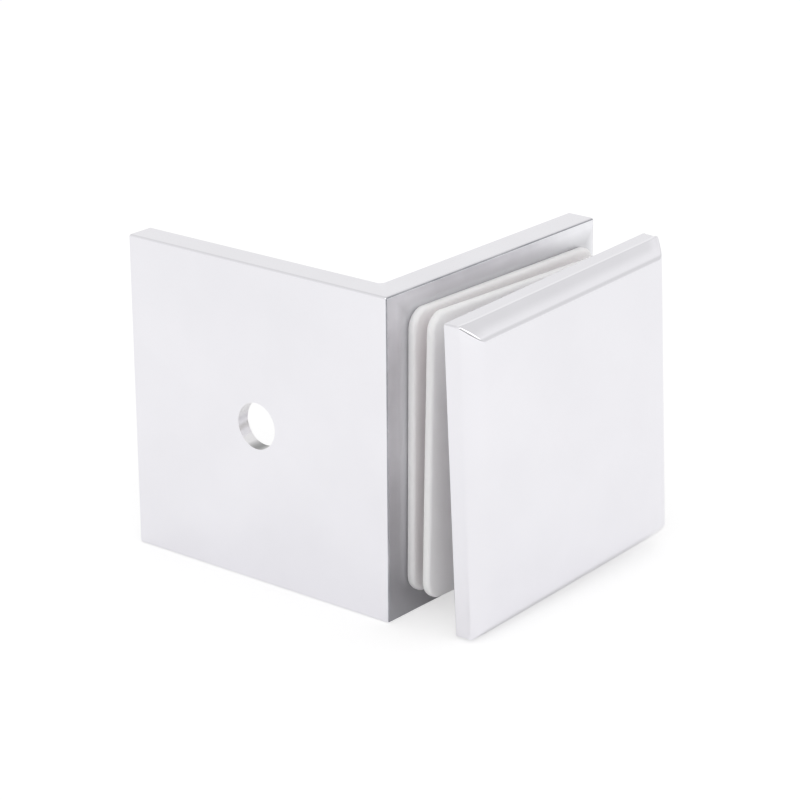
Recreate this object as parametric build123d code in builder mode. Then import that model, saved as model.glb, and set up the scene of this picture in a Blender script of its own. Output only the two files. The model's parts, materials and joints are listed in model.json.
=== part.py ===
from build123d import *
import math
import os

# Square wall-to-glass clamp: an angle bracket, two pads and a bevelled cover
# plate, drawn together by one countersunk screw from behind.
# Millimetres. The origin is where the wall screw's axis meets the wall face,
# +X leads away from the wall along the glass, the cover is towards -Y, +Z is up.

# Bracket
wall_leg_length = 50.0
glass_leg_length = 50.0
bracket_height = 50.0
leg_thickness = 4.8
bracket_edge_round = 0.4
inner_corner_round = 0.6

# Wall screw's hole, sunk from the inner side of the wall leg
wall_hole_diameter = 7.2
wall_sink_diameter = 12.6
sink_angle = 90.0

# Cover plate
cover_size = 48.0
rim_thickness = 2.9
bevel_run = 2.4
bevel_depth = 2.2
cover_corner_round = 1.0
face_corner_round = 0.6
cover_edge_round = 0.25
boss_diameter = 10.0
boss_root_round = 0.5
boss_mouth_chamfer = 0.5
face_wall = 1.6

# Clamp screw
screw_diameter = 6.0
head_diameter = 11.3
head_rim_height = 0.3
head_sunk = 0.15
socket_width = 4.0
socket_depth = 2.0
tip_chamfer = 0.7

# Pads and sleeve
gasket_size = 43.6
gasket_thickness = 1.4
gasket_corner_radius = 3.0
gasket_edge_chamfer = 0.3
sleeve_wall = 1.9
sleeve_rim_chamfer = 0.3

# How the loose clamp stands: distances from the glass leg's outer face,
# the lean, yaw and turn of the cover, and where the two pads have settled
cover_gap = 10.7
cover_gasket_distance = 4.1
cover_lean = 0.9
cover_yaw = 0.4
cover_turn = 2.15
bracket_gasket_shift = 1.2
bracket_gasket_drop = 0.1
bracket_gasket_turn = 0.8
cover_gasket_turn = 1.8
tighten_travel = 2.3

# Clearances, all measured on the radius or along the axis
screw_hole_clearance = 0.5
head_clearance = 0.35
thread_clearance = 0.05
sleeve_bore_clearance = 0.1
sleeve_seat_clearance = 0.1
gasket_hole_clearance = 0.2
sleeve_overhang = 0.1
boss_overhang = 1.2
tip_room = 0.65

# The glass leg's outer face, seen from the cover's side: its own y direction is up
outer_face_y = -wall_leg_length / 2
leg_middle = leg_thickness / 2
clamp_hole_x = glass_leg_length / 2
leg_face = Plane(origin=(clamp_hole_x, outer_face_y, 0), x_dir=(1, 0, 0), z_dir=(0, -1, 0))

# The post's plane stands square to the screw's axis in the middle of the glass leg.
# It leans and yaws, because the loose cover has sagged open at the bottom and at one side.
post_plane = leg_face.moved(Location((0, 0, -leg_middle), (-cover_lean, -cover_yaw, 0)))
post_axis = Axis(post_plane.origin, post_plane.z_dir)
post_section = Plane(post_plane.origin, x_dir=post_plane.x_dir, z_dir=-post_plane.y_dir)
face_size = cover_size - 2 * bevel_run
cover_back = leg_middle + cover_gap
cover_plane = post_plane.moved(Location((0, 0, cover_back), (0, 0, cover_turn)))

# The pads stand square to the leg: one clings to it off centre, the other hangs on the sleeve
bracket_gasket_place = (bracket_gasket_shift, -bracket_gasket_drop, 0)
bracket_gasket_plane = leg_face.moved(Location(bracket_gasket_place, (0, 0, -bracket_gasket_turn)))
post_rise = (leg_middle + cover_gasket_distance) * math.tan(math.radians(cover_lean))
post_drift = (leg_middle + cover_gasket_distance) * math.tan(math.radians(cover_yaw))
cover_gasket_place = (-post_drift, post_rise, cover_gasket_distance)
cover_gasket_plane = leg_face.moved(Location(cover_gasket_place, (0, 0, -cover_gasket_turn)))

# Radii that pass through each other
screw_radius = screw_diameter / 2
head_radius = head_diameter / 2
screw_hole_radius = screw_radius + screw_hole_clearance
boss_radius = boss_diameter / 2
sleeve_bore_radius = boss_radius + sleeve_bore_clearance
sleeve_radius = sleeve_bore_radius + sleeve_wall
gasket_hole_radius = sleeve_radius + gasket_hole_clearance
tapped_radius = screw_radius + thread_clearance
sink_radius = head_radius + head_sunk + head_rim_height + head_clearance

# Lengths along the screw's axis, from the post's plane
sleeve_end = leg_middle + cover_gasket_distance - sleeve_overhang
sleeve_length = cover_back - sleeve_seat_clearance - sleeve_end
boss_length = cover_back - sleeve_end + boss_overhang
tapped_depth = boss_length + rim_thickness + bevel_depth - face_wall
tapped_floor = cover_back - boss_length + tapped_depth
head_top = head_sunk - leg_middle
screw_tip = tapped_floor - tighten_travel - tip_room


# Bracket: a square angle, its holes sunk for flat heads on the inner side
with BuildPart() as bracket:
    with BuildSketch(Plane.XY.offset(-bracket_height / 2)):
        with BuildLine():
            Polyline(
                (0, outer_face_y),
                (glass_leg_length, outer_face_y),
                (glass_leg_length, outer_face_y + leg_thickness),
                (leg_thickness, outer_face_y + leg_thickness),
                (leg_thickness, outer_face_y + wall_leg_length),
                (0, outer_face_y + wall_leg_length),
                close=True,
            )
        make_face()
    extrude(amount=bracket_height)
    upright_edges = bracket.edges().filter_by(Axis.Z)
    inner_corner = upright_edges.sort_by_distance((leg_thickness, outer_face_y + leg_thickness, 0))[0]
    fillet(inner_corner, radius=inner_corner_round)
    inner_bend = bracket.faces().filter_by(GeomType.CYLINDER)
    outer_edges = bracket.edges() - inner_bend.edges()
    fillet(outer_edges, radius=bracket_edge_round)
    wall_leg_inside = Plane(origin=(leg_thickness, 0, 0), z_dir=(1, 0, 0))
    with Locations(wall_leg_inside):
        CounterSinkHole(
            radius=wall_hole_diameter / 2,
            counter_sink_radius=wall_sink_diameter / 2,
            depth=leg_thickness,
            counter_sink_angle=sink_angle,
        )
    glass_leg_inside = Plane(leg_face.offset(-leg_thickness).origin, z_dir=-leg_face.z_dir)
    with Locations(glass_leg_inside):
        CounterSinkHole(
            radius=screw_hole_radius,
            counter_sink_radius=sink_radius,
            depth=leg_thickness,
            counter_sink_angle=sink_angle,
        )
bracket.part.label = "bracket"


# Cover plate: a bevelled square with the tapped boss cast on its back
with BuildPart() as cover_plate:
    with BuildSketch(cover_plane):
        RectangleRounded(cover_size, cover_size, cover_corner_round)
    extrude(amount=rim_thickness)
    with BuildSketch(cover_plane.offset(rim_thickness)):
        RectangleRounded(cover_size, cover_size, cover_corner_round)
    with BuildSketch(cover_plane.offset(rim_thickness + bevel_depth)):
        RectangleRounded(face_size, face_size, face_corner_round)
    loft()
    side_edges = cover_plate.edges().filter_by(lambda edge: edge.length > face_size / 2)
    fillet(side_edges, radius=cover_edge_round)
    with BuildSketch(cover_plane):
        Circle(boss_radius)
    extrude(amount=-boss_length)
    boss_edges = cover_plate.edges().filter_by(GeomType.CIRCLE).group_by(SortBy.RADIUS)[-1]
    boss_root, boss_mouth = boss_edges.sort_by(Axis(cover_plane.origin, -cover_plane.z_dir))
    fillet(boss_root, radius=boss_root_round)
    chamfer(boss_mouth, length=boss_mouth_chamfer)
    with BuildSketch(cover_plane.offset(-boss_length)):
        Circle(tapped_radius)
    extrude(amount=tapped_depth, mode=Mode.SUBTRACT)
cover_plate.part.label = "cover_plate"


# Clamp screw: a flat head with a hexagon socket, turned about the post's axis
with BuildPart() as clamp_screw:
    with BuildSketch(post_section):
        with BuildLine():
            Polyline(
                (0, head_top),
                (head_radius, head_top),
                (head_radius, head_top + head_rim_height),
                (screw_radius, head_top + head_rim_height + head_radius - screw_radius),
                (screw_radius, screw_tip - tip_chamfer),
                (screw_radius - tip_chamfer, screw_tip),
                (0, screw_tip),
                close=True,
            )
        make_face()
    revolve(axis=post_axis)
    with BuildSketch(post_plane.offset(head_top)):
        RegularPolygon(radius=socket_width / 2, side_count=6, major_radius=False)
    extrude(amount=socket_depth, mode=Mode.SUBTRACT)
clamp_screw.part.label = "clamp_screw"


# Sleeve round the boss, which keeps the metal off the edge of the glass
with BuildPart() as hole_sleeve:
    with BuildSketch(post_plane.offset(sleeve_end)):
        Circle(sleeve_radius)
        Circle(sleeve_bore_radius, mode=Mode.SUBTRACT)
    extrude(amount=sleeve_length)
    sleeve_rims = hole_sleeve.edges().filter_by(GeomType.CIRCLE).group_by(SortBy.RADIUS)
    chamfer(sleeve_rims[0], length=boss_root_round + sleeve_seat_clearance)
    chamfer(sleeve_rims[-1], length=sleeve_rim_chamfer)
hole_sleeve.part.label = "hole_sleeve"


# Pads: two alike, square with rounded corners and a round hole in the middle
def pad(pad_plane):
    with BuildPart() as piece:
        with BuildSketch(pad_plane):
            RectangleRounded(gasket_size, gasket_size, gasket_corner_radius)
        extrude(amount=gasket_thickness)
        chamfer(piece.edges().filter_by(pad_plane), length=gasket_edge_chamfer)
        with BuildSketch(pad_plane):
            Circle(gasket_hole_radius)
        extrude(amount=gasket_thickness, mode=Mode.SUBTRACT)
    return piece


bracket_gasket = pad(bracket_gasket_plane)
bracket_gasket.part.label = "bracket_gasket"

cover_gasket = pad(cover_gasket_plane)
cover_gasket.part.label = "cover_gasket"


os.makedirs("parts", exist_ok=True)
for piece in (bracket, cover_plate, clamp_screw, hole_sleeve, bracket_gasket, cover_gasket):
    export_step(piece.part, f"parts/{piece.part.label}.step")
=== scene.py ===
import json
import math

import bmesh
import bpy
from mathutils import Matrix, Vector, noise


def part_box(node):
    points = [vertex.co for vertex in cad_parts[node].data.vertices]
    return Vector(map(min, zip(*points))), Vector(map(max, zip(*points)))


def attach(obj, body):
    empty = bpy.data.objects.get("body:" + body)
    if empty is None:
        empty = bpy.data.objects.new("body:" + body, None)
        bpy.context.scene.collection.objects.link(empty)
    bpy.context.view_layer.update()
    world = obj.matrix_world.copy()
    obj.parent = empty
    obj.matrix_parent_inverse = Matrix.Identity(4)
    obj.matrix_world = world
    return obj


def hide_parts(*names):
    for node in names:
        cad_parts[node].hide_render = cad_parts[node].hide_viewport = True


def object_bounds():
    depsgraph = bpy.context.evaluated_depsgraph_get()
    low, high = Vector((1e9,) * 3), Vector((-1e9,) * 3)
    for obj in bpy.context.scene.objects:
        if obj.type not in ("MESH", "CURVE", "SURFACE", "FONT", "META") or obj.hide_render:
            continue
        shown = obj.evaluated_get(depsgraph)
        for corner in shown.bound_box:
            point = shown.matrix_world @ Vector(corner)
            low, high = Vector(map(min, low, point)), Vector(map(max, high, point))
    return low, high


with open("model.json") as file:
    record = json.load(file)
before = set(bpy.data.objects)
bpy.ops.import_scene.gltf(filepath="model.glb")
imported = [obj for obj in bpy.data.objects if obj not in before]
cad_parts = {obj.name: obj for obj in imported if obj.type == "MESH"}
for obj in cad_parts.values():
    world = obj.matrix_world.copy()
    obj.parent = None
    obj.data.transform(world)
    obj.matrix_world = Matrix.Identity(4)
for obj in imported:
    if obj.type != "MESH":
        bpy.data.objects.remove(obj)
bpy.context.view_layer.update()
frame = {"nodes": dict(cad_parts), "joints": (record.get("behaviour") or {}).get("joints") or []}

# Looks of a square wall-to-glass clamp in bright chrome.
# Metres, in the frame's own axes: the wall is at X = 0 and the cover towards -Y.

MM = 0.001

# Camera
camera_place = Vector((-305.35, -277.16, 153.79)) * MM
camera_azimuth = math.radians(50.726)
camera_tilt = math.radians(19.992)
camera_roll = math.radians(-0.384)
sensor_width = 36.0
focal_length = 133.76
clip_start = 0.01

# Meshes: an edge that bends by more than the hard angle stays hard, and points closer together
# than the weld distance become one
cover_hard_angle = math.radians(50)
pad_hard_angle = math.radians(60)
screw_hard_angle = math.radians(35)
welded_hard_angle = math.radians(40)
weld_distance = 0.001 * MM
flat_face_weight = 100

# Cover plate: depths run from its back to its front
cover_back = 13.1 * MM
cover_turn = math.radians(2.15)
cover_half = 23.96 * MM
cover_corner_radius = 0.3 * MM
back_edge_round = 0.25 * MM
rim_depth = 2.9 * MM
rim_hollow = 0.09 * MM
rim_lip_width = 0.6 * MM
rim_hollow_round = 1.5 * MM
rim_edge_round = 0.35 * MM
corner_dip = 0.2 * MM
corner_dip_reach = math.radians(3.5)
face_half = 21.6 * MM
face_depth = 5.1 * MM
face_edge_round = 2.0 * MM
bevel_bulge = 0.12 * MM
bevel_round = 8.0 * MM
mitre_radius = 0.42 * MM
boss_radius = 5.0 * MM
boss_mouth = -7.9 * MM
boss_mouth_chamfer = 0.5 * MM
boss_root_round = 0.5 * MM
tapped_radius = 3.05 * MM
tapped_chamfer = 0.3 * MM
tapped_floor = 3.5 * MM
drill_point_radius = 0.3 * MM

# Bracket: the wall screw's hole runs along X through the origin, with painted shade in the bottom
# of its wall. The polish ends at a dark line of painted shade round the face that the pad covers.
# That face has a painted shadow reaching a little past the pad's edge, measured from the pad's
# middle, and painted shade that deepens from the screw down.
wall_hole_radius = 3.6 * MM
wall_hole_reach = 1.01 * wall_hole_radius
# Top of the painted shade in the bottom of the wall hole, below the hole's axis
hole_shade_top = -0.85 * wall_hole_radius
drilled_roughness = 0.2
# Painted shade: a dark line on the rounded edges round the covered face starts at this depth
edge_line_y = -24.88 * MM
satin_y = -24.985 * MM
linished_roughness = 0.36
# Painted shade on the satin face, deepening from the height of the screw down to its bottom
painted_low_shade_top = 0 * MM
painted_low_shade_bottom = -25 * MM
# Painted shadow on the satin face round the pad, fading out a little past the pad's edge
pad_shadow_middle = Vector((26.2, 0, -0.1)) * MM
pad_shadow_inside = 21.6 * MM
pad_shadow_outside = 23.8 * MM

# Pads, two alike: square with rounded corners and a round hole
pad_half = 21.8 * MM
pad_thickness = 1.4 * MM
pad_corner_radius = 3.0 * MM
pad_hole_radius = 7.2 * MM
pad_edge_round = 0.5 * MM
pad_ripple = 0.05
pad_ripple_length = 11 * MM
bracket_pad_turn = math.radians(0.8)
cover_pad_turn = math.radians(1.8)

# Clamp screw, M6: depths are measured along its axis from the middle of the glass leg
screw_radius = 3.0 * MM
thread_pitch = 1.0 * MM
thread_depth = 0.6 * MM
thread_start = 1.2 * MM
thread_crest_share = 0.14
thread_flank_share = 0.6
head_radius = 5.65 * MM
head_top = -2.25 * MM
head_rim_height = 0.3 * MM
head_edge_round = 0.08 * MM
socket_width = 4.0 * MM
socket_depth = 1.9 * MM
socket_mouth = 0.2 * MM
socket_point_depth = 0.5 * MM
socket_drill_radius = 1.68 * MM
socket_drill_depth = 0.02 * MM
screw_tip = 13.65 * MM
tip_chamfer = 0.7 * MM

# Part of a noise's range that the materials spread over their own ranges
noise_low = 0.3
noise_high = 0.7

# Studio: each finish of the floor is a grey and the glow on top of it. The room that the metal
# mirrors has a grey for each height of view, from 0 at the horizon to 1 overhead.
floor_half = 6.0
floor_finish = (0.8, 0)
floor_finish_in_mirrors = (1.0, 0.075)
floor_finish_to_camera = (0.5, 0.58)
world_light = (0.80, 0.80, 0.80)
room_left = [(0.0, 0.95), (0.06, 0.45), (0.26, 0.45), (0.5, 0.9), (0.66, 0.81), (1.0, 0.74)]
room_right = [(0.0, 0.97), (0.12, 0.79), (0.24, 0.79), (0.48, 0.97), (0.66, 0.81), (1.0, 0.74)]
room_behind = [(0.0, 1.0), (0.34, 0.91), (1.0, 0.76)]
key_lamp_offset = Vector((-1.0, -0.8, 0.85))
fill_lamp_offset = Vector((0.22, -1.16, 0.83))


# Meshes

def finish_mesh(name, work, sharp_angle):
    """Turns a bmesh into a smooth-shaded mesh whose edges over an angle stay hard."""
    bmesh.ops.recalc_face_normals(work, faces=work.faces)
    mesh = bpy.data.meshes.new(name)
    work.to_mesh(mesh)
    work.free()
    if "custom_normal" in mesh.attributes:
        mesh.attributes.remove(mesh.attributes["custom_normal"])
    mesh.shade_smooth()
    mesh.set_sharp_from_angle(angle=sharp_angle)
    return mesh


def loops_to_mesh(name, loops, closed, sharp_angle):
    """Quads between loops of as many points each; closed joins the last loop to the first."""
    work = bmesh.new()
    rows = [[work.verts.new(point) for point in loop] for loop in loops]
    pairs = list(zip(rows, rows[1:]))
    if closed:
        pairs.append((rows[-1], rows[0]))
    else:
        work.faces.new(rows[0])
        work.faces.new(rows[-1])
    for row, next_row in pairs:
        for i in range(len(row)):
            j = (i + 1) % len(row)
            work.faces.new((row[i], row[j], next_row[j], next_row[i]))
    return finish_mesh(name, work, sharp_angle)


def welded_mesh(name, node, sharp_angle):
    """A CAD node's own shape with its facets joined up and shaded smooth."""
    work = bmesh.new()
    work.from_mesh(frame["nodes"][node].data)
    bmesh.ops.remove_doubles(work, verts=work.verts, dist=weld_distance)
    return finish_mesh(name, work, sharp_angle)


def add_piece(name, mesh, material, body, replaced):
    """Puts a mesh into the scene in place of a CAD node, on that node's body."""
    mesh.materials.clear()
    mesh.materials.append(material)
    piece = bpy.data.objects.new(name, mesh)
    bpy.context.scene.collection.objects.link(piece)
    weighted = piece.modifiers.new("flat_faces", "WEIGHTED_NORMAL")
    weighted.keep_sharp = True
    weighted.weight = flat_face_weight
    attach(piece, body)
    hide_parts(replaced)


def joint_line(name):
    """A joint's place, and its axis with the two directions across it, sideways and upward."""
    joint = next(j for j in frame["joints"] if j["name"] == name)
    along = Vector(joint["axis"]).normalized()
    sideways = (Vector((1, 0, 0)) - along * along.x).normalized()
    return Vector(joint["pos_m"]), along, sideways, along.cross(sideways)


def circle(radius):
    """Distance from the middle to the edge of a circle, as rounded_square gives it."""
    return lambda angle: radius


def rounded_square(half, radius):
    """Distance from the middle of a rounded square to its edge, in any direction."""
    def reach(angle):
        across = max(abs(math.cos(angle)), abs(math.sin(angle)))
        along = min(abs(math.cos(angle)), abs(math.sin(angle)))
        straight = half / across
        if straight * along <= half - radius:
            return straight
        to_centre = (half - radius) * (across + along)
        return to_centre + math.sqrt(to_centre ** 2 - 2 * (half - radius) ** 2 + radius ** 2)
    return reach


def square_angles(corner_reach, crowding):
    """Angles all round a square, closer within corner_reach degrees of its corners.

    A crowding of 1 spaces them evenly there, and 2 packs them towards the corner itself.
    """
    side_steps = 14
    corner_steps = 12
    side_reach = 45 - corner_reach
    angles = []
    for corner in (45, 135, 225, 315):
        angles += [corner - 45 + side_reach * i / side_steps for i in range(side_steps)]
        for i in range(-corner_steps, corner_steps):
            from_corner = math.copysign(abs(i / corner_steps) ** crowding, i)
            angles.append(corner + corner_reach * from_corner)
        angles += [corner + corner_reach + side_reach * i / side_steps for i in range(side_steps)]
    return [math.radians(angle) for angle in angles]


def rounded_path(corners):
    """A path through corners given as ((x, y), radius), with each corner turned in short steps."""
    steps = 8
    points = [Vector(point) for point, radius in corners]
    path = []
    for i, (_, radius) in enumerate(corners):
        if radius == 0:
            path.append(points[i])
            continue
        before = (points[i - 1] - points[i]).normalized()
        after = (points[i + 1] - points[i]).normalized()
        half_angle = before.angle(after) / 2
        centre = points[i] + (before + after).normalized() * radius / math.sin(half_angle)
        first = points[i] + before * radius / math.tan(half_angle) - centre
        last = points[i] + after * radius / math.tan(half_angle) - centre
        sweep = first.angle_signed(last)
        for k in range(steps + 1):
            path.append(centre + Matrix.Rotation(-sweep * k / steps, 2) @ first)
    return path


def dipped(depth):
    """A depth on the cover that lies further back at the corners, most at the rim's front edge."""
    share = min(depth / rim_depth, (face_depth - depth) / (face_depth - rim_depth))

    def depth_at(angle):
        from_corner = abs(angle % (math.pi / 2) - math.pi / 4)
        closeness = max(1 - from_corner / corner_dip_reach, 0)
        return depth - corner_dip * share * math.sin(math.pi / 2 * closeness) ** 2
    return depth_at


def cover_rings():
    """The cover's outlines with their depths, from the floor of the tapped hole to the face."""
    rings = [
        (circle(drill_point_radius), tapped_floor),
        (circle(tapped_radius), tapped_floor),
        (circle(tapped_radius), boss_mouth + tapped_chamfer),
        (circle(tapped_radius + tapped_chamfer), boss_mouth),
    ]
    boss = rounded_path([
        ((boss_radius - boss_mouth_chamfer, boss_mouth), 0),
        ((boss_radius, boss_mouth + boss_mouth_chamfer), 0),
        ((boss_radius, 0), boss_root_round),
        ((boss_radius + 2 * boss_root_round, 0), 0),
    ])
    rings += [(circle(radius), depth) for radius, depth in boss]
    rim = Vector((cover_half, rim_depth))
    slope = Vector((face_half, face_depth)) - rim
    outward = Vector((slope.y, -slope.x)).normalized()
    inside_face = [((face_half * share, face_depth), 0) for share in (0.9, 0.5, 0.05)]
    plate = rounded_path([
        ((face_half, 0), 0),
        ((cover_half, 0), back_edge_round),
        ((cover_half - rim_hollow, rim_depth - rim_lip_width), rim_hollow_round),
        (rim, rim_edge_round),
        (rim + slope / 2 + outward * bevel_bulge, bevel_round),
        ((face_half, face_depth), face_edge_round),
        *inside_face,
    ])
    for half, depth in plate:
        share = min(max((depth - rim_depth) / (face_depth - rim_depth), 0), 1)
        blunted = math.sin(math.pi * share) ** 2
        corner = cover_corner_radius + (mitre_radius - cover_corner_radius) * blunted
        rings.append((rounded_square(half, min(corner, half / 2)), dipped(depth)))
    return rings


def rings_mesh(name, rings, angles, place, axes, sharp_angle):
    """A closed skin through outlines at depths along an axis; a depth may vary with the angle."""
    along, sideways, upward = axes
    loops = []
    for reach, depth in rings:
        loop = []
        for angle in angles:
            across = sideways * math.cos(angle) + upward * math.sin(angle)
            distance = depth(angle) if callable(depth) else depth
            loop.append(place + along * distance + across * reach(angle))
        loops.append(loop)
    return loops_to_mesh(name, loops, closed=False, sharp_angle=sharp_angle)


def cover_mesh(name):
    """The bevelled plate with its tapped boss, where its CAD solid is."""
    place, along, sideways, upward = joint_line("cover_swivel")
    across = sideways * math.cos(cover_turn) + upward * math.sin(cover_turn)
    raised = upward * math.cos(cover_turn) - sideways * math.sin(cover_turn)
    angles = square_angles(corner_reach=8, crowding=2)
    back = place + along * cover_back
    return rings_mesh(name, cover_rings(), angles, back, (along, across, raised), cover_hard_angle)


def pad_rim(share):
    """The rounded edge from the back face to the front: share of the width, inset, depth."""
    steps = 5
    straight = pad_thickness / 2 - pad_edge_round
    quarter = [math.pi / 2 * i / steps for i in range(steps + 1)]
    bends = [(-bend, -straight) for bend in reversed(quarter)] + [(bend, straight) for bend in quarter]
    rim = []
    for bend, depth in bends:
        inset = pad_edge_round * (1 - math.cos(bend))
        rim.append((share, inset, depth + pad_edge_round * math.sin(bend)))
    return rim


def pad_mesh(name, node, turn):
    """A moulded pad, a little wavy, where its CAD solid is."""
    low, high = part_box(node)
    middle = (low + high) / 2
    turned = Matrix.Rotation(turn, 3, "Y")
    half = pad_thickness / 2
    shares = [0.02, 0.06] + [0.1 * i for i in range(1, 10)] + [0.94, 0.98]
    back_face = [(share, pad_edge_round, -half) for share in shares]
    front_face = [(share, pad_edge_round, half) for share in reversed(shares)]
    section = back_face + pad_rim(1) + front_face + pad_rim(0)[::-1]
    angles = square_angles(corner_reach=5.5, crowding=1)
    loops = []
    for share, inset, depth in section:
        loop = []
        inner = pad_hole_radius + inset
        outer = rounded_square(pad_half - inset, pad_corner_radius - inset)
        for angle in angles:
            radius = inner + (outer(angle) - inner) * share
            spot = Vector((radius * math.cos(angle), depth, radius * math.sin(angle)))
            ripple = noise.noise(Vector((spot.x, turn, spot.z)) / pad_ripple_length)
            spot.y *= 1 - pad_ripple * abs(ripple)
            loop.append(middle + turned @ spot)
        loops.append(loop)
    return loops_to_mesh(name, loops, closed=True, sharp_angle=pad_hard_angle)


def hexagon(angle):
    """Distance from the middle of the socket to its wall."""
    return socket_width / 2 / math.cos((angle + math.pi / 6) % (math.pi / 3) - math.pi / 6)


def thread_outline(depth):
    """Outline of the right-hand thread at a depth: flat crests and roots, run out at its start."""
    limit = screw_radius - max(depth - screw_tip + tip_chamfer, 0)
    run_out = min(max((depth - thread_start) / thread_pitch, 0), 1)

    def reach(angle):
        turn_share = (depth / thread_pitch - angle / math.tau) % 1
        from_crest = abs(turn_share - 0.5) * 2
        flank = min(max((from_crest - thread_crest_share) / thread_flank_share, 0), 1)
        return min(screw_radius - thread_depth * flank * run_out, limit)
    return reach


def screw_mesh(name):
    """The flat head with its hexagon socket, the shank and the thread, down to the tip."""
    place, along, sideways, upward = joint_line("screw_turn")
    steps = 96
    rings_a_turn = 20
    angles = [math.tau * k / steps for k in range(steps)]
    socket_floor = head_top + socket_depth
    cone_end = head_top + head_rim_height + head_radius - screw_radius
    mouth_radius = socket_width / 2 / math.cos(math.pi / 6) + socket_mouth / 2
    rings = [
        (circle(drill_point_radius), socket_floor + socket_point_depth),
        (circle(socket_drill_radius), socket_floor + socket_drill_depth),
        (hexagon, socket_floor),
        (hexagon, head_top + socket_mouth),
        (circle(mouth_radius), head_top),
        (circle(mouth_radius + socket_mouth / 2), head_top),
        (circle(head_radius - 2 * head_edge_round), head_top),
        (circle(head_radius - head_edge_round), head_top),
        (circle(head_radius), head_top + head_edge_round),
        (circle(head_radius), head_top + head_rim_height),
        (circle(screw_radius), cone_end),
    ]
    thread_rings = int((screw_tip - thread_start) / (thread_pitch / rings_a_turn))
    for i in range(thread_rings + 1):
        depth = thread_start + i * (screw_tip - thread_start) / thread_rings
        rings.append((thread_outline(depth), depth))
    return rings_mesh(name, rings, angles, place, (along, sideways, upward), screw_hard_angle)


# Materials

def start_material(name):
    """A new material: its nodes, its links, its main shader and its own object's coordinates."""
    material = bpy.data.materials.new(name)
    material.use_nodes = True
    nodes = material.node_tree.nodes
    links = material.node_tree.links
    place = nodes.new("ShaderNodeTexCoord").outputs["Object"]
    return material, nodes, links, nodes["Principled BSDF"], place


def add_noise(nodes, links, place, size, detail=3.0, stretch=(1, 1, 1)):
    """Cloudy noise with features about size metres across, thinner along stretched axes."""
    mapping = nodes.new("ShaderNodeMapping")
    mapping.inputs["Scale"].default_value = stretch
    texture = nodes.new("ShaderNodeTexNoise")
    texture.inputs["Scale"].default_value = 1 / size
    texture.inputs["Detail"].default_value = detail
    links.new(place, mapping.inputs["Vector"])
    links.new(mapping.outputs["Vector"], texture.inputs["Vector"])
    return texture.outputs["Fac"]


def add_range(nodes, links, value, low, high):
    """Spreads the middle of a noise over low to high."""
    spread = nodes.new("ShaderNodeMapRange")
    spread.inputs["From Min"].default_value = noise_low
    spread.inputs["From Max"].default_value = noise_high
    spread.inputs["To Min"].default_value = low
    spread.inputs["To Max"].default_value = high
    links.new(value, spread.inputs["Value"])
    return spread.outputs["Result"]


def add_colours(nodes, links, value, low, high):
    """A colour between low and high."""
    ramp = nodes.new("ShaderNodeValToRGB")
    ramp.color_ramp.elements[0].position = noise_low
    ramp.color_ramp.elements[0].color = (*low, 1)
    ramp.color_ramp.elements[1].position = noise_high
    ramp.color_ramp.elements[1].color = (*high, 1)
    links.new(value, ramp.inputs["Fac"])
    return ramp.outputs["Color"]


def add_bump(nodes, links, height, distance, before=None):
    """Bump with a real height in metres, on top of another bump if there is one."""
    bump = nodes.new("ShaderNodeBump")
    bump.inputs["Strength"].default_value = 1.0
    bump.inputs["Distance"].default_value = distance
    links.new(height, bump.inputs["Height"])
    if before:
        links.new(before, bump.inputs["Normal"])
    return bump.outputs["Normal"]


def add_math(nodes, links, operation, first, second):
    """One sum of two values; either may be a plain number."""
    node = nodes.new("ShaderNodeMath")
    node.operation = operation
    for socket, value in zip(node.inputs, (first, second)):
        if isinstance(value, (int, float)):
            socket.default_value = value
        else:
            links.new(value, socket)
    return node.outputs["Value"]


def add_mix(nodes, links, share, low, high):
    """A colour mixed from two others; either may be plain numbers."""
    low_colour = 6
    high_colour = 7
    mixed_colour = 2
    mix = nodes.new("ShaderNodeMix")
    mix.data_type = "RGBA"
    links.new(share, mix.inputs["Factor"])
    for socket, value in ((mix.inputs[low_colour], low), (mix.inputs[high_colour], high)):
        if isinstance(value, tuple):
            socket.default_value = (*value, 1)
        else:
            links.new(value, socket)
    return mix.outputs[mixed_colour]


def add_fade(nodes, links, value, start, end):
    """0 up to where value reaches start, 1 from where it reaches end."""
    fade = nodes.new("ShaderNodeMapRange")
    fade.inputs["From Min"].default_value = start
    fade.inputs["From Max"].default_value = end
    links.new(value, fade.inputs["Value"])
    return fade.outputs["Result"]


def inside_wall_hole(nodes, links, place):
    """1 on the wall of the wall screw's hole, which runs along X through the origin, else 0."""
    flat = nodes.new("ShaderNodeVectorMath")
    flat.operation = "MULTIPLY"
    flat.inputs[1].default_value = (0, 1, 1)
    links.new(place, flat.inputs[0])
    length = nodes.new("ShaderNodeVectorMath")
    length.operation = "LENGTH"
    links.new(flat.outputs["Vector"], length.inputs[0])
    return add_math(nodes, links, "LESS_THAN", length.outputs["Value"], wall_hole_reach)


# Mask of the painted shadow round the pad
def round_the_pad(nodes, links, place):
    """1 up to the edge of the pad that clings to the bracket, down to 0 a little way off."""
    from_middle = nodes.new("ShaderNodeVectorMath")
    from_middle.operation = "SUBTRACT"
    from_middle.inputs[1].default_value = pad_shadow_middle
    links.new(place, from_middle.inputs[0])
    split = nodes.new("ShaderNodeSeparateXYZ")
    links.new(from_middle.outputs["Vector"], split.inputs[0])
    across = add_math(nodes, links, "ABSOLUTE", split.outputs["X"], 0)
    upward = add_math(nodes, links, "ABSOLUTE", split.outputs["Z"], 0)
    farthest = add_math(nodes, links, "MAXIMUM", across, upward)
    return add_fade(nodes, links, farthest, pad_shadow_outside, pad_shadow_inside)


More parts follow.
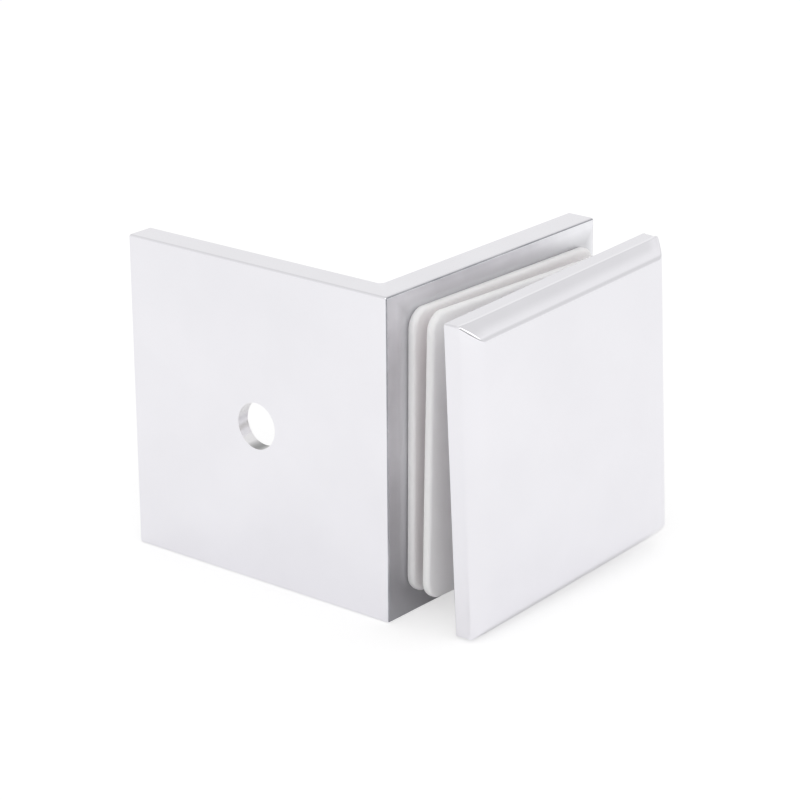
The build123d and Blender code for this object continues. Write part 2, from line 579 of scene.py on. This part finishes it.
def chrome(name):
    """Bright chrome plate, mirror smooth: its colour, roughness and normal, not yet linked.

    It has the polisher's faint waves, very fine grain and a few duller patches.
    """
    material, nodes, links, shader, place = start_material(name)
    shader.inputs["Metallic"].default_value = 1.0
    haze = add_noise(nodes, links, place, size=14 * MM)
    grain = add_noise(nodes, links, place, size=0.35 * MM, detail=2.0)
    waves = add_noise(nodes, links, place, size=9 * MM, detail=1.0)
    colour = add_colours(nodes, links, haze, low=(0.84, 0.832, 0.866), high=(0.866, 0.858, 0.892))
    rough = add_range(nodes, links, haze, low=0.05, high=0.11)
    normal = add_bump(nodes, links, waves, distance=0.006 * MM)
    normal = add_bump(nodes, links, grain, distance=0.0002 * MM, before=normal)
    return material, place, colour, rough, normal


def link_finish(material, colour, rough, normal):
    """The material, with its colour, roughness and normal joined to its shader."""
    shader = material.node_tree.nodes["Principled BSDF"]
    links = material.node_tree.links
    links.new(colour, shader.inputs["Base Color"])
    links.new(rough, shader.inputs["Roughness"])
    links.new(normal, shader.inputs["Normal"])
    return material


def cover_chrome():
    """The cover is polished all over."""
    material, _, colour, rough, normal = chrome("cover_chrome")
    return link_finish(material, colour, rough, normal)


def bracket_chrome():
    """The bracket is polished but for its drilled wall hole and the face that the pad covers.

    There the plate is satin, with the drill's rings and the marks of the linishing belt, painted
    shade that deepens towards its lower end and a painted shadow round the pad. A dark line of
    painted shade runs round the covered face, on its rounded edges, and painted shade lies in the
    bottom of the hole.
    """
    material, place, colour, rough, normal = chrome("bracket_chrome")
    nodes = material.node_tree.nodes
    links = material.node_tree.links
    split = nodes.new("ShaderNodeSeparateXYZ")
    links.new(place, split.inputs[0])
    hole = inside_wall_hole(nodes, links, place)
    edge_line = add_math(nodes, links, "LESS_THAN", split.outputs["Y"], edge_line_y)
    covered = add_math(nodes, links, "LESS_THAN", split.outputs["Y"], satin_y)
    rings = add_noise(nodes, links, place, size=1.5 * MM, detail=4.0, stretch=(12, 1, 1))
    belt = add_noise(nodes, links, place, size=8 * MM, detail=4.0, stretch=(20, 1, 1))
    clouds = add_noise(nodes, links, place, size=7 * MM)
    # Painted shade in the bottom of the wall hole, darkest at its lowest point
    painted_hole_shade = add_fade(nodes, links, split.outputs["Z"], hole_shade_top, -wall_hole_radius)
    hole_colour = add_mix(nodes, links, painted_hole_shade, low=(0.93, 0.92, 0.93), high=(0.30, 0.30, 0.30))
    # Painted shade: the dark line on the rounded edges round the covered face
    edge_shade_colour = add_colours(nodes, links, clouds, low=(0.25, 0.26, 0.29), high=(0.50, 0.50, 0.53))
    satin = add_colours(nodes, links, clouds, low=(0.84, 0.84, 0.87), high=(0.95, 0.95, 0.98))
    # Painted shade: the satin face darkens from the screw down to its bottom
    painted_low_shade = add_fade(nodes, links, split.outputs["Z"], painted_low_shade_top, painted_low_shade_bottom)
    # Painted shadow round the pad, where it meets the plate
    painted_pad_shadow = round_the_pad(nodes, links, place)
    satin = add_mix(nodes, links, painted_pad_shadow, low=satin, high=(0.66, 0.66, 0.68))
    satin = add_mix(nodes, links, painted_low_shade, low=satin, high=(0.42, 0.42, 0.44))
    colour = add_mix(nodes, links, hole, low=colour, high=hole_colour)
    colour = add_mix(nodes, links, edge_line, low=colour, high=edge_shade_colour)
    colour = add_mix(nodes, links, covered, low=colour, high=satin)
    drilled = add_math(nodes, links, "MULTIPLY", hole, drilled_roughness)
    linished = add_math(nodes, links, "MULTIPLY", edge_line, linished_roughness)
    rough = add_math(nodes, links, "ADD", rough, add_math(nodes, links, "ADD", drilled, linished))
    ring_marks = add_math(nodes, links, "MULTIPLY", rings, hole)
    normal = add_bump(nodes, links, ring_marks, distance=0.01 * MM, before=normal)
    belt_marks = add_math(nodes, links, "MULTIPLY", belt, covered)
    normal = add_bump(nodes, links, belt_marks, distance=0.006 * MM, before=normal)
    return link_finish(material, colour, rough, normal)


def clear_pad(name):
    """Soft clear plastic that has gone milky, with a fine moulded skin."""
    material, nodes, links, shader, place = start_material(name)
    shader.inputs["IOR"].default_value = 1.47
    shader.inputs["Transmission Weight"].default_value = 0.05
    shader.inputs["Subsurface Weight"].default_value = 1.0
    shader.inputs["Subsurface Scale"].default_value = 2.0 * MM
    shader.inputs["Subsurface Radius"].default_value = (1.0, 1.0, 1.0)
    clouds = add_noise(nodes, links, place, size=6 * MM)
    skin = add_noise(nodes, links, place, size=0.3 * MM, detail=2.0)
    colour = add_colours(nodes, links, clouds, low=(0.99, 0.925, 0.935), high=(0.995, 0.945, 0.955))
    rough = add_range(nodes, links, clouds, low=0.3, high=0.45)
    normal = add_bump(nodes, links, skin, distance=0.004 * MM)
    return link_finish(material, colour, rough, normal)


def white_nylon(name):
    """Natural nylon, satin, a little uneven from the mould."""
    material, nodes, links, shader, place = start_material(name)
    shader.inputs["IOR"].default_value = 1.53
    shader.inputs["Subsurface Weight"].default_value = 0.3
    shader.inputs["Subsurface Scale"].default_value = 0.6 * MM
    clouds = add_noise(nodes, links, place, size=3 * MM)
    skin = add_noise(nodes, links, place, size=0.2 * MM, detail=2.0)
    colour = add_colours(nodes, links, clouds, low=(0.78, 0.78, 0.75), high=(0.84, 0.84, 0.81))
    rough = add_range(nodes, links, clouds, low=0.38, high=0.5)
    normal = add_bump(nodes, links, skin, distance=0.006 * MM)
    return link_finish(material, colour, rough, normal)


def screw_steel(name):
    """Plain stainless steel with the fine grooves of the lathe, which run round the screw."""
    material, nodes, links, shader, place = start_material(name)
    shader.inputs["Metallic"].default_value = 1.0
    shader.inputs["Anisotropic"].default_value = 0.4
    grooves = add_noise(nodes, links, place, size=2 * MM, detail=4.0, stretch=(1, 40, 1))
    stains = add_noise(nodes, links, place, size=2.5 * MM)
    colour = add_colours(nodes, links, stains, low=(0.50, 0.49, 0.47), high=(0.64, 0.63, 0.61))
    rough = add_range(nodes, links, stains, low=0.22, high=0.34)
    normal = add_bump(nodes, links, grooves, distance=0.003 * MM)
    return link_finish(material, colour, rough, normal)


# Studio

def seen_directly(nodes, links):
    """1 where a surface or the world is seen by the camera, in a mirror or through glass, else 0."""
    path = nodes.new("ShaderNodeLightPath")
    mirrored = add_math(nodes, links, "MAXIMUM", path.outputs["Is Glossy Ray"],
                        path.outputs["Is Transmission Ray"])
    return add_math(nodes, links, "MAXIMUM", path.outputs["Is Camera Ray"], mirrored)


def add_glowing(nodes, links, grey, glow):
    """A matt grey that also glows a little."""
    matt = nodes.new("ShaderNodeBsdfDiffuse")
    matt.inputs["Color"].default_value = (grey, grey, grey, 1)
    light = nodes.new("ShaderNodeEmission")
    light.inputs["Strength"].default_value = glow
    both = nodes.new("ShaderNodeAddShader")
    links.new(matt.outputs[0], both.inputs[0])
    links.new(light.outputs[0], both.inputs[1])
    return both.outputs[0]


def build_floor(height):
    """A wide pale floor. It glows up to white in mirrors and to the camera, and keeps its shadow."""
    corners = [(floor_half * x, floor_half * y, height) for x, y in ((-1, -1), (1, -1), (1, 1), (-1, 1))]
    mesh = bpy.data.meshes.new("floor")
    mesh.from_pydata(corners, [], [(0, 1, 2, 3)])
    floor = bpy.data.objects.new("floor", mesh)
    bpy.context.scene.collection.objects.link(floor)
    material = bpy.data.materials.new("floor_white")
    material.use_nodes = True
    nodes = material.node_tree.nodes
    links = material.node_tree.links
    nodes.remove(nodes["Principled BSDF"])
    path = nodes.new("ShaderNodeLightPath")
    surface = add_glowing(nodes, links, *floor_finish)
    for share, finish in ((seen_directly(nodes, links), floor_finish_in_mirrors),
                          (path.outputs["Is Camera Ray"], floor_finish_to_camera)):
        mix = nodes.new("ShaderNodeMixShader")
        links.new(share, mix.inputs["Fac"])
        links.new(surface, mix.inputs[1])
        links.new(add_glowing(nodes, links, *finish), mix.inputs[2])
        surface = mix.outputs[0]
    links.new(surface, nodes["Material Output"].inputs["Surface"])
    mesh.materials.append(material)


def add_levels(nodes, links, value, levels):
    """A grey that follows value through levels, given as (value, grey)."""
    ramp = nodes.new("ShaderNodeValToRGB")
    elements = ramp.color_ramp.elements
    ramp.color_ramp.interpolation = "EASE"
    for i, (position, grey) in enumerate(levels):
        element = elements[i] if i < 2 else elements.new(position)
        element.position = position
        element.color = (grey, grey, grey, 1)
    links.new(value, ramp.inputs["Fac"])
    return ramp.outputs["Color"]


def build_world():
    """Soft light from all round; in the metal it is a white room, dark low down round the camera."""
    world = bpy.data.worlds.new("studio")
    bpy.context.scene.world = world
    world.use_nodes = True
    nodes = world.node_tree.nodes
    links = world.node_tree.links
    split = nodes.new("ShaderNodeSeparateXYZ")
    links.new(nodes.new("ShaderNodeTexCoord").outputs["Generated"], split.inputs[0])
    height = split.outputs["Z"]
    left = add_levels(nodes, links, height, room_left)
    right = add_levels(nodes, links, height, room_right)
    behind = add_levels(nodes, links, height, room_behind)
    rightward = add_fade(nodes, links, split.outputs["X"], start=0, end=0.5)
    front = add_mix(nodes, links, rightward, low=left, high=right)
    backward = add_fade(nodes, links, split.outputs["Y"], start=-0.3, end=0.3)
    seen = add_mix(nodes, links, backward, low=front, high=behind)
    path = nodes.new("ShaderNodeLightPath")
    seen = add_mix(nodes, links, path.outputs["Is Camera Ray"], low=seen, high=(1, 1, 1))
    colour = add_mix(nodes, links, seen_directly(nodes, links), low=world_light, high=seen)
    links.new(colour, nodes["Background"].inputs["Color"])


def build_lamp(name, place, aim, size, level):
    """A square softbox that lights a white surface at aim, facing it, to the given level."""
    light = bpy.data.lights.new(name, "AREA")
    light.shape = "SQUARE"
    light.size = size
    toward = aim - place
    light.energy = level * math.pi ** 2 * toward.length_squared
    lamp = bpy.data.objects.new(name, light)
    bpy.context.scene.collection.objects.link(lamp)
    lamp.location = place
    lamp.rotation_euler = toward.to_track_quat("-Z", "Y").to_euler()


def build_camera():
    """The photograph's own viewpoint."""
    camera = bpy.data.cameras.new("camera")
    camera.sensor_width = sensor_width
    camera.lens = focal_length
    camera.clip_start = clip_start
    holder = bpy.data.objects.new("camera", camera)
    bpy.context.scene.collection.objects.link(holder)
    turn = Matrix.Rotation(-camera_azimuth, 4, "Z")
    tilt = Matrix.Rotation(math.pi / 2 - camera_tilt, 4, "X")
    roll = Matrix.Rotation(camera_roll, 4, "Z")
    holder.matrix_world = Matrix.Translation(camera_place) @ turn @ tilt @ roll
    bpy.context.scene.camera = holder


# The pieces and their materials
pad_material = clear_pad("clear_pad")
add_piece("polished_bracket", welded_mesh("polished_bracket", "bracket", welded_hard_angle),
          bracket_chrome(), "bracket", "bracket")
add_piece("polished_cover", cover_mesh("polished_cover"),
          cover_chrome(), "cover", "cover_plate")
add_piece("moulded_sleeve", welded_mesh("moulded_sleeve", "hole_sleeve", welded_hard_angle),
          white_nylon("white_nylon"), "sleeve", "hole_sleeve")
add_piece("threaded_screw", screw_mesh("threaded_screw"),
          screw_steel("screw_steel"), "screw", "clamp_screw")
add_piece("bracket_pad", pad_mesh("bracket_pad", "bracket_gasket", bracket_pad_turn),
          pad_material, "bracket", "bracket_gasket")
add_piece("cover_pad", pad_mesh("cover_pad", "cover_gasket", cover_pad_turn),
          pad_material, "loose_pad", "cover_gasket")

# The studio round them
low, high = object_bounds()
middle = (low + high) / 2
build_floor(low.z)
build_world()
build_lamp("key_lamp", middle + key_lamp_offset, aim=middle, size=1.0, level=0.19)
build_lamp("fill_lamp", middle + fill_lamp_offset, aim=middle, size=0.8, level=0.075)
build_camera()
bpy.context.scene.view_settings.view_transform = "Standard"
